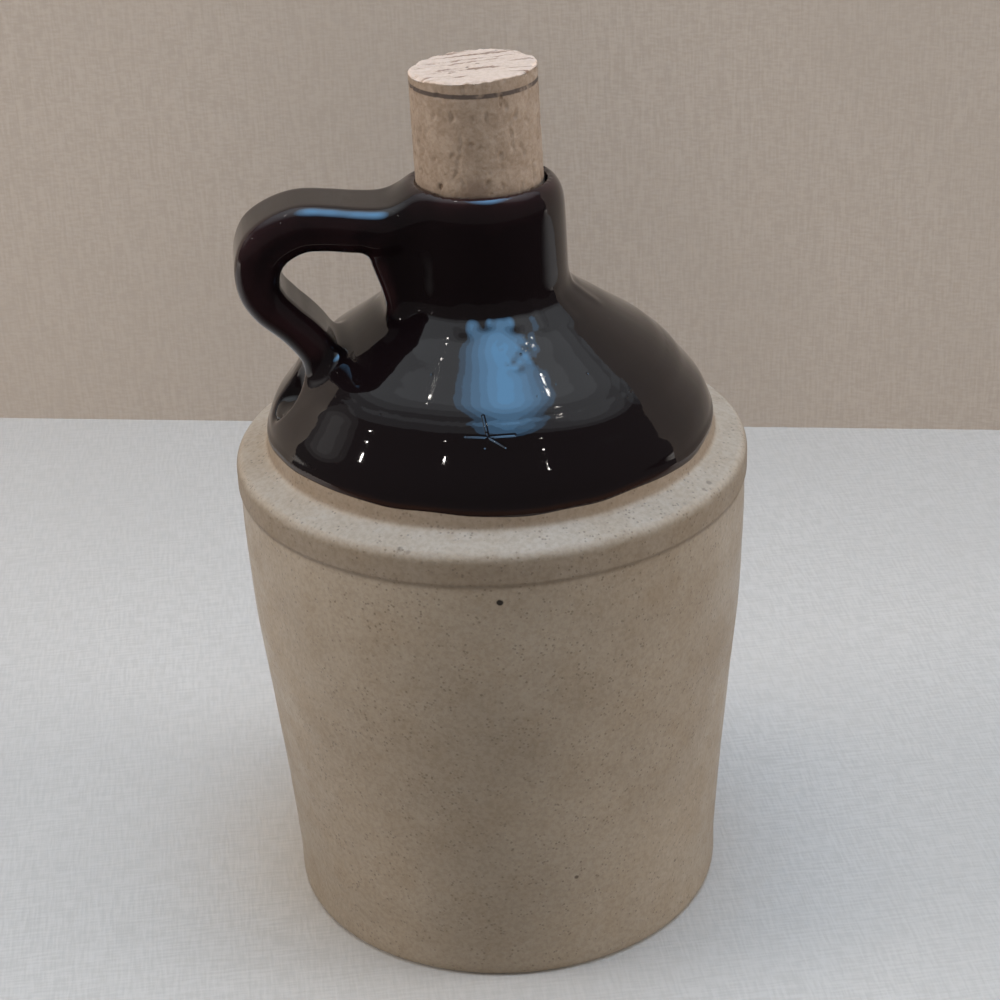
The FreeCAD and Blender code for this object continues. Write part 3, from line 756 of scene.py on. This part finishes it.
def settle(mesh, surface, rounds):
    # moves every point on to the true surface, and spaces the points evenly along it
    count = len(mesh.vertices)
    points = np.empty(count * 3)
    mesh.vertices.foreach_get("co", points)
    points = points.reshape(-1, 3) / mm
    edges = np.empty(len(mesh.edges) * 2, int)
    mesh.edges.foreach_get("vertices", edges)
    edges = edges.reshape(-1, 2)
    both = np.r_[edges, edges[:, ::-1]]
    degree = np.bincount(both[:, 0], minlength=count)

    def neighbours(values):
        total = np.stack([np.bincount(both[:, 0], values[both[:, 1], i], count) for i in range(values.shape[1])], 1)
        return total / degree[:, None]

    for turn in range(rounds):
        if turn:
            points += 0.5 * (neighbours(points) - points)
        for _ in range(3 if turn == 0 else 1 + (turn == rounds - 1)):
            value, way = surface(points)
            size = (way**2).sum(1) + 1e-9
            points -= np.clip(value / size, -0.7, 0.7)[:, None] * way
    way /= np.linalg.norm(way, axis=1)[:, None] + 1e-9
    return points, way, neighbours


def bell(value, width):
    return np.exp(-((value / width) ** 2))


def glazeRelief(shape, points):
    # how far the glaze stands off at each point: the rolled hem, runs and blisters
    angle = np.arctan2(points[:, 1], points[:, 0])
    radius = np.hypot(points[:, 0], points[:, 1])
    height = points[:, 2]
    wave = sum(size * np.sin(waves * angle + phase) for waves, phase, size in shape["hemWaves"])
    above = height - shape["hemHeight"] - wave
    outer = (radius > 30) & (height < 112)
    hem = np.where(above > 0, 0.10, 0.10 + np.maximum(above, -1.2) * 0.42)
    hem = hem + shape["hemBead"] * bell(above - 0.55, 0.5)
    relief = np.where(outer, hem, 0.06)
    # thick runs that gathered on the shoulder below the neck
    for at, low, high, wide, thick in shape["runs"]:
        side = (angle - at) * radius
        reach = np.clip((height - low) / 1.4, 0, 1) * np.clip((high - height) / 1.6, 0, 1)
        relief += np.where(radius < 30, thick * bell(side, wide) * reach**2 * (3 - 2 * reach), 0)
    # small blisters on the front of the shoulder
    chance = np.random.default_rng(shape["blisterSeed"])
    for _ in range(shape["blisters"]):
        at = shape["blisterAngle"] + chance.normal(0, 0.09)
        level = shape["blisterHeight"] + chance.normal(0, 1.0)
        wide = 0.45 + 0.30 * chance.random()
        thick = (0.03 + 0.05 * chance.random()) * (1 if chance.random() < 0.6 else -1)
        blister = thick * bell((angle - at) * radius, wide) * bell(height - level, wide * 0.75)
        relief += np.where(radius > 14, blister, 0)
    hemTint = np.where(outer, bell(above - 0.1, 0.42), 0)
    return relief, hemTint


def glazedTopPiece(shape, finish):
    surface, pot, path, thick, broad = glazedSurface(shape)
    mesh = roughTop(shape, pot, path, thick, broad)
    print("rough top has", len(mesh.vertices), "points")
    points, way, neighbours = settle(mesh, surface, shape["rounds"])
    print("top settled on its surface")
    # edges and ridges, where the glaze runs thin
    curl = ((points - neighbours(points)) * way).sum(1)
    for _ in range(6):
        curl = neighbours(curl[:, None])[:, 0]
    thin = np.clip((curl - shape["thinFrom"]) / shape["thinSpan"], 0, 1)
    relief, hemTint = glazeRelief(shape, points)
    points = points + way * relief[:, None]
    # the thrown lip stands a little higher at the front
    points[:, 2] += shape["lipTilt"] * np.clip(-points[:, 1], -14, 14) * np.clip((points[:, 2] - 140) / 4, 0, 1)
    mesh.vertices.foreach_set("co", (points * mm).ravel())
    for key, values in (("thinGlaze", thin), ("glazeHem", hemTint)):
        layer = mesh.attributes.new(key, "FLOAT", "POINT")
        layer.data.foreach_set("value", values.astype(np.float32))
    mesh.update()
    return finishPiece("glazedTop", mesh, finish)


glazedTop = glazedTopPiece(topShape, glaze)
print("glazed top made")


# the cork leans towards the handle, about its pivot height
corkShape = {
    "radius": 11.55,
    "topRadius": 11.4,
    "bottom": 128.4,
    "top": 165.75,
    "pivot": 139.2,
    "lean": 1.2,
    "around": 220,
    "wobble": 0.0,
    "wobbleScale": 60.0,
    "seed": 2.0,
    "pitsFrom": 143,
    "slopeFrom": 160,
    "growthTurn": corkLook["growthTurn"],
    "topEdge": 0.35,
    "wornFrom": 10.3,
    "highest": 166.18,
}


def corkOutline(shape):
    low, high = shape["bottom"], shape["top"]
    wide, narrow = shape["radius"], shape["topRadius"]
    outline = straight((0, low), (wide - 0.9, low), 1.2)
    outline += [np.array((wide - 0.4, low + 0.08)), np.array((wide - 0.1, low + 0.3))]
    outline += straight((wide, low + 0.7), (wide, 143.0), 1.2)
    outline += straight((wide, 143.2), (narrow, high - 0.6), 0.24)
    outline += [np.array((narrow - 0.07, high - 0.28)), np.array((narrow - 0.25, high - 0.07))]
    return outline + straight((narrow - 0.5, high), (0, high), 0.24)


def roughenCork(piece, shape):
    # a worn bottle cork: pitted side, and a cut top that slopes and has opened along its growth lines
    mesh = piece.data
    cut = mesh.attributes.new("cutTop", "FLOAT", "POINT")
    turn = Matrix.Rotation(math.radians(-shape["lean"]), 4, "Y")
    pivot = Vector((0, 0, shape["pivot"]))
    for vertex in mesh.vertices:
        p = vertex.co / mm
        flatRadius = math.hypot(p.x, p.y)
        onTop = p.z > shape["top"] - shape["topEdge"]
        if flatRadius > 8 and p.z > shape["pitsFrom"]:
            pit = solidNoise.noise(Vector((p.x * 0.9, p.y * 0.9, p.z * 0.5)) + Vector((7, 2, 1)))
            fine = solidNoise.noise(p * 2.3)
            inward = max(0.0, pit - 0.30) * 1.1 + max(0.0, fine - 0.30) * 0.4 + 0.05
            scale = 1 - inward * (0.55 if onTop else 1.0) / flatRadius
            p.x *= scale
            p.y *= scale
        if p.z > shape["slopeFrom"]:
            # the top is a little lower on the handle's side and at the back
            p.z += (0.016 * p.x - 0.042 * p.y + 0.12) * min(1.0, (p.z - shape["slopeFrom"]) / 4)
        if onTop:
            a = math.radians(shape["growthTurn"])
            along = p.x * math.cos(a) + p.y * math.sin(a)
            across = -p.x * math.sin(a) + p.y * math.cos(a)
            ridge = solidNoise.noise(Vector((along * 0.16, across * 1.15, 3.0)))
            crumb = solidNoise.noise(Vector((p.x * 1.7, p.y * 1.7, 9.0)))
            p.z += 0.30 * ridge - 0.55 * max(0.0, ridge - 0.22) + 0.12 * crumb - 0.10
            worn = max(0.0, flatRadius - shape["wornFrom"]) / 1.1
            p.z -= worn * max(0.0, solidNoise.noise(Vector((p.x * 0.45, p.y * 0.45, 5.0))) + 0.1) * 1.1
        cut.data[vertex.index].value = 1.0 if onTop and flatRadius < 11.5 else 0.0
        p = pivot + (turn @ (p - pivot))
        p.z = min(p.z, shape["highest"])
        vertex.co = p * mm
    mesh.update()


cork = turnedPiece("wornCork", corkOutline(corkShape), lathe, corkBark, corkShape)
roughenCork(cork, corkShape)
print("cork made")

for piece, slot in ((clayBody, "stoneware"), (glazedTop, "stoneware"), (cork, "cork")):
    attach(piece, "root")
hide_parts("jug")
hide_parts("jug")
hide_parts("cork")


# the lamps hang in the room, aimed at the jug
def hangLamp(lamp, place, aim):
    item = bpy.data.objects.new(lamp.name, lamp)
    item.location = place
    item.rotation_euler = aim.to_track_quat("-Z", "Y").to_euler()
    scene.collection.objects.link(item)
    return item


def softLamp(name, place, towards, size, radiance, tint, layers=6, drift=(0, 0, 0)):
    # ovals laid 12 mm apart on each other, so that the lamp fades towards its rim
    # radiance is how bright the middle of the lamp looks in a mirror
    aim = Vector(towards) - Vector(place)
    for i in range(layers):
        share = (i + 1) / layers
        lamp = bpy.data.lights.new("%s%d" % (name, i), "AREA")
        lamp.shape = "ELLIPSE"
        lamp.size, lamp.size_y = size[0] * share, size[1] * share
        lamp.energy = radiance / layers * math.pi * math.pi / 4 * lamp.size * lamp.size_y
        lamp.color = tint
        hangLamp(lamp, Vector(place) + Vector(drift) * share - aim.normalized() * 0.012 * i, aim)


def fillLamp(name, place, towards, size, level, tint):
    # lights the object without showing in its gloss; level is how bright a white surface facing it turns
    aim = Vector(towards) - Vector(place)
    lamp = bpy.data.lights.new(name, "AREA")
    lamp.shape = "DISK"
    lamp.size = size
    lamp.energy = level * math.pi * math.pi * aim.length**2
    lamp.color = tint
    hangLamp(lamp, place, aim).visible_glossy = False


def smallLamp(name, way, look, radius):
    aim = -Vector(way).normalized()
    lamp = bpy.data.lights.new(name, "POINT")
    lamp.shadow_soft_size = radius
    lamp.energy = look["radiance"] * 4 * math.pi**2 * radius**2
    lamp.color = look["tint"]
    hangLamp(lamp, Vector(look["seenFrom"]) - aim * look["distance"], aim)


stageLook = {
    "floor": (0.430, 0.402, 0.374),
    "floorPale": (0.492, 0.463, 0.432),
    "wall": (0.385, 0.325, 0.272),
    "wallPale": (0.435, 0.370, 0.315),
    "wallFoot": (0.0242, 0.205),
    "wallTurn": -13.3,
    "wallHalfWidth": 0.75,
    "wallHeight": 0.42,
    "threadDepth": 0.00015,
    "darkRoom": (0.03, 0.028, 0.027),
    "roomTint": (1.0, 0.97, 0.93),
    "roomLight": 0.09,
}


def clothMaterial(name, dark, pale, look, oneSided=False):
    # a plain woven cover
    material, tree, surface, place = newMaterial(name)
    warp = noise(tree, stretched(tree, place, (1500, 160, 160)), 1.0, 2)
    weft = noise(tree, stretched(tree, place, (160, 1500, 1500)), 1.0, 2)
    threads = maths(tree, "ADD", times(tree, warp, 0.5), times(tree, weft, 0.5))
    patches = noise(tree, place, 14, 3)
    colour = blendColour(tree, spread(tree, threads, 0.36, 0.64), dark, pale)
    colour = blendColour(tree, spread(tree, patches, 0.35, 0.7, 0.0, 0.35), colour, dark)
    feed(tree, surface.inputs["Base Color"], colour)
    surface.inputs["Roughness"].default_value = 0.95
    bumped(tree, surface, threads, look["threadDepth"])
    if oneSided:
        # from behind the wall shows nothing, so that the jug is seen from there too
        other = tree.nodes.new("ShaderNodeBsdfTransparent")
        share = tree.nodes.new("ShaderNodeNewGeometry").outputs["Backfacing"]
    else:
        # in front of the jug the room is dark, and only the gloss looks there
        other = tree.nodes.new("ShaderNodeEmission")
        other.inputs["Color"].default_value = (*look["darkRoom"], 1)
        near = spread(tree, coordinates(tree, place)[1], -0.10, 0.06, 1.0, 0.0)
        share = times(tree, tree.nodes.new("ShaderNodeLightPath").outputs["Is Glossy Ray"], near)
    either = tree.nodes.new("ShaderNodeMixShader")
    feed(tree, either.inputs[0], share)
    feed(tree, either.inputs[1], surface.outputs[0])
    feed(tree, either.inputs[2], other.outputs[0])
    feed(tree, tree.nodes["Material Output"].inputs["Surface"], either.outputs[0])
    return material


def stagePlane(name, corners, material):
    mesh = bpy.data.meshes.new(name)
    mesh.from_pydata(corners, [], [(0, 1, 2, 3)])
    mesh.materials.append(material)
    plane = bpy.data.objects.new(name, mesh)
    scene.collection.objects.link(plane)


stagePlane("floor", [(-3, -3, 0), (3, -3, 0), (3, 3, 0), (-3, 3, 0)],
           clothMaterial("paleCloth", stageLook["floor"], stageLook["floorPale"], stageLook))
footX, footY = stageLook["wallFoot"]
wallTurn = math.radians(stageLook["wallTurn"])
halfWide, wallHigh = stageLook["wallHalfWidth"], stageLook["wallHeight"]
stagePlane("wall", [(footX + side * math.cos(wallTurn) * halfWide, footY + side * math.sin(wallTurn) * halfWide, up)
                    for side, up in ((-1, 0), (1, 0), (1, wallHigh), (-1, wallHigh))],
           clothMaterial("wallCloth", stageLook["wall"], stageLook["wallPale"], stageLook, oneSided=True))

softLamp("ceiling", (0.10, 0.25, 1.25), (0.05, 0.10, 0.11), (3.4, 1.9), 1.4, (0.88, 0.95, 1.0))
softLamp("skylight", (0.10, -0.02, 1.20), (0.02, -0.02, 0.11), (1.30, 0.76), 8.4, (0.20, 0.55, 1.0),
         drift=(0, -0.09, 0))
softLamp("leftGlow", (-1.30, 0.40, 0.70), (0, 0, 0.10), (0.7, 0.8), 0.45, (1.0, 0.98, 0.96), layers=3)
softLamp("rightGlow", (1.25, 0.50, 0.85), (0, 0, 0.10), (0.7, 0.9), 0.50, (0.80, 0.92, 1.0), layers=3)
softLamp("backGlow", (0.1, 1.3, 1.0), (0, 0, 0.12), (2.0, 1.2), 0.4, (0.95, 1.0, 1.0), layers=3)
fillLamp("leftFill", (-1.20, 0.08, 0.38), (0, 0, 0.06), 0.8, 0.80, (1.0, 0.96, 0.93))
fillLamp("rightFill", (1.22, -0.18, 0.38), (0, 0, 0.06), 0.8, 0.84, (1.0, 0.96, 0.93))
fillLamp("frontFill", (-0.1, -1.25, 0.36), (0, 0, 0.05), 0.8, 0.29, (1.0, 0.95, 0.88))
fillLamp("topFill", (-0.05, -0.05, 1.5), (0, 0, 0.09), 1.1, 0.42, (1.0, 0.78, 0.48))

smallLamps = {
    "ways": ((-0.379, 0.018, 0.925), (-0.345, 0.070, 0.935), (-0.828, -0.072, 0.556), (-0.408, -0.526, 0.747),
             (0.325, -0.618, 0.716), (0.431, -0.234, 0.872), (0.352, -0.004, 0.936)),
    "seenFrom": (0, 0, 0.115),
    "distance": 1.25,
    "radiance": 190,
    "tint": (1.0, 0.95, 0.88),
    "radius": 0.005,
    "largeRadius": 0.009,
    "largeOne": 2,
}
for i, way in enumerate(smallLamps["ways"]):
    radius = smallLamps["largeRadius"] if i == smallLamps["largeOne"] else smallLamps["radius"]
    smallLamp("ceilingLamp%d" % i, way, smallLamps, radius)

world = bpy.data.worlds.new("room")
world.use_nodes = True
background = world.node_tree.nodes["Background"]
background.inputs["Color"].default_value = (*stageLook["roomTint"], 1)
background.inputs["Strength"].default_value = stageLook["roomLight"]
scene.world = world

cameraView = {
    "place": (-0.04097, -0.38977, 0.27974),
    "turn": (63.0305, 2.0947, -7.2355),
    "lens": 82.8,
    "sensor": 36,
    "nearest": 0.01,
}
lens = bpy.data.cameras.new("camera")
lens.sensor_width = cameraView["sensor"]
lens.lens = cameraView["lens"]
lens.clip_start = cameraView["nearest"]
camera = bpy.data.objects.new("camera", lens)
camera.location = cameraView["place"]
camera.rotation_euler = [math.radians(angle) for angle in cameraView["turn"]]
scene.collection.objects.link(camera)
scene.camera = camera
print("stage set")
